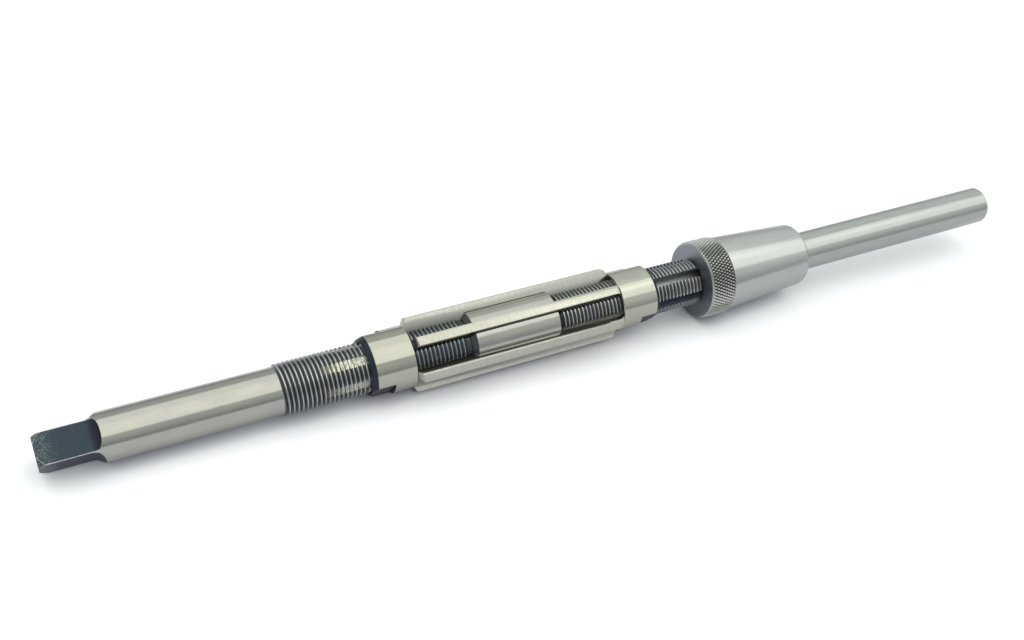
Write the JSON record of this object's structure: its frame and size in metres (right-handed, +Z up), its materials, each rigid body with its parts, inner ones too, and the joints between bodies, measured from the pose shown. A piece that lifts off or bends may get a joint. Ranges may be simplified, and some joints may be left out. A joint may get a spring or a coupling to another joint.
{
  "type": "adjustable hand reamer",
  "caption": "Hand reamer whose straight blades lie in sloping slots between adjusting nuts, with a square drive end and a tapered guide bush on a long pilot.",
  "frame": {"origin": "on the surface that the tool lies on, below the middle of its overall box", "axes": "+Z up, +X along the tool from the driving square to the pilot's end; the tool's own axis rises by 1.32 degrees toward the pilot, because it lies on its knurled ring and the rear ends of two blades"},
  "size_m": [0.2832, 0.0218, 0.0219],
  "materials": {
    "body_steel": "ground bright, blued at the square",
    "nut_steel": "fine turned satin",
    "blade_steel": "matt ground",
    "bush_steel": "satin turned, knurled ring"
  },
  "bodies": {
    "reamer_body": {"body": "body_steel"},
    "rear_nut": {"rear_nut": "nut_steel"},
    "front_nut": {"front_nut": "nut_steel"},
    "guide_bush": {"guide_bush": "bush_steel"},
    "blade_1": {"blade_1": "blade_steel"},
    "blade_2": {"blade_2": "blade_steel"},
    "blade_3": {"blade_3": "blade_steel"},
    "blade_4": {"blade_4": "blade_steel"},
    "blade_5": {"blade_5": "blade_steel"},
    "blade_6": {"blade_6": "blade_steel"}
  },
  "joints": [
    {"name": "rear_nut_travel", "type": "slide", "parent": "reamer_body", "child": "rear_nut", "axis": [-0.9997, 0, -0.0231], "range_m": [-0.0145, 0.016]},
    {"name": "front_nut_travel", "type": "slide", "parent": "reamer_body", "child": "front_nut", "axis": [-0.9997, 0, -0.0231], "range_m": [-0.01404, 0.01549]},
    {"name": "guide_bush_slide", "type": "slide", "parent": "reamer_body", "child": "guide_bush", "axis": [0.9997, 0, 0.0231], "range_m": [0, 0.0708]},
    {"name": "blade_1_slide", "type": "slide", "parent": "reamer_body", "child": "blade_1", "axis": [-0.9999, 0.0146, 0.0007], "range_m": [-0.01428, 0.01575]},
    {"name": "blade_2_slide", "type": "slide", "parent": "reamer_body", "child": "blade_2", "axis": [-0.9999, -0.0133, 0.0015], "range_m": [-0.01428, 0.01575]},
    {"name": "blade_3_slide", "type": "slide", "parent": "reamer_body", "child": "blade_3", "axis": [-0.9994, -0.0279, -0.0223], "range_m": [-0.01428, 0.01575]},
    {"name": "blade_4_slide", "type": "slide", "parent": "reamer_body", "child": "blade_4", "axis": [-0.9988, -0.0146, -0.0468], "range_m": [-0.01428, 0.01575]},
    {"name": "blade_5_slide", "type": "slide", "parent": "reamer_body", "child": "blade_5", "axis": [-0.9988, 0.0133, -0.0476], "range_m": [-0.01428, 0.01575]},
    {"name": "blade_6_slide", "type": "slide", "parent": "reamer_body", "child": "blade_6", "axis": [-0.9993, 0.0279, -0.0238], "range_m": [-0.01428, 0.01575]}
  ],
  "couplings": [
    {"joint": "front_nut_travel", "follows": "rear_nut_travel", "ratio": 0.96826},
    {"joint": "blade_1_slide", "follows": "rear_nut_travel", "ratio": 0.98451},
    {"joint": "blade_2_slide", "follows": "rear_nut_travel", "ratio": 0.98451},
    {"joint": "blade_3_slide", "follows": "rear_nut_travel", "ratio": 0.98451},
    {"joint": "blade_4_slide", "follows": "rear_nut_travel", "ratio": 0.98451},
    {"joint": "blade_5_slide", "follows": "rear_nut_travel", "ratio": 0.98451},
    {"joint": "blade_6_slide", "follows": "rear_nut_travel", "ratio": 0.98451}
  ]
}
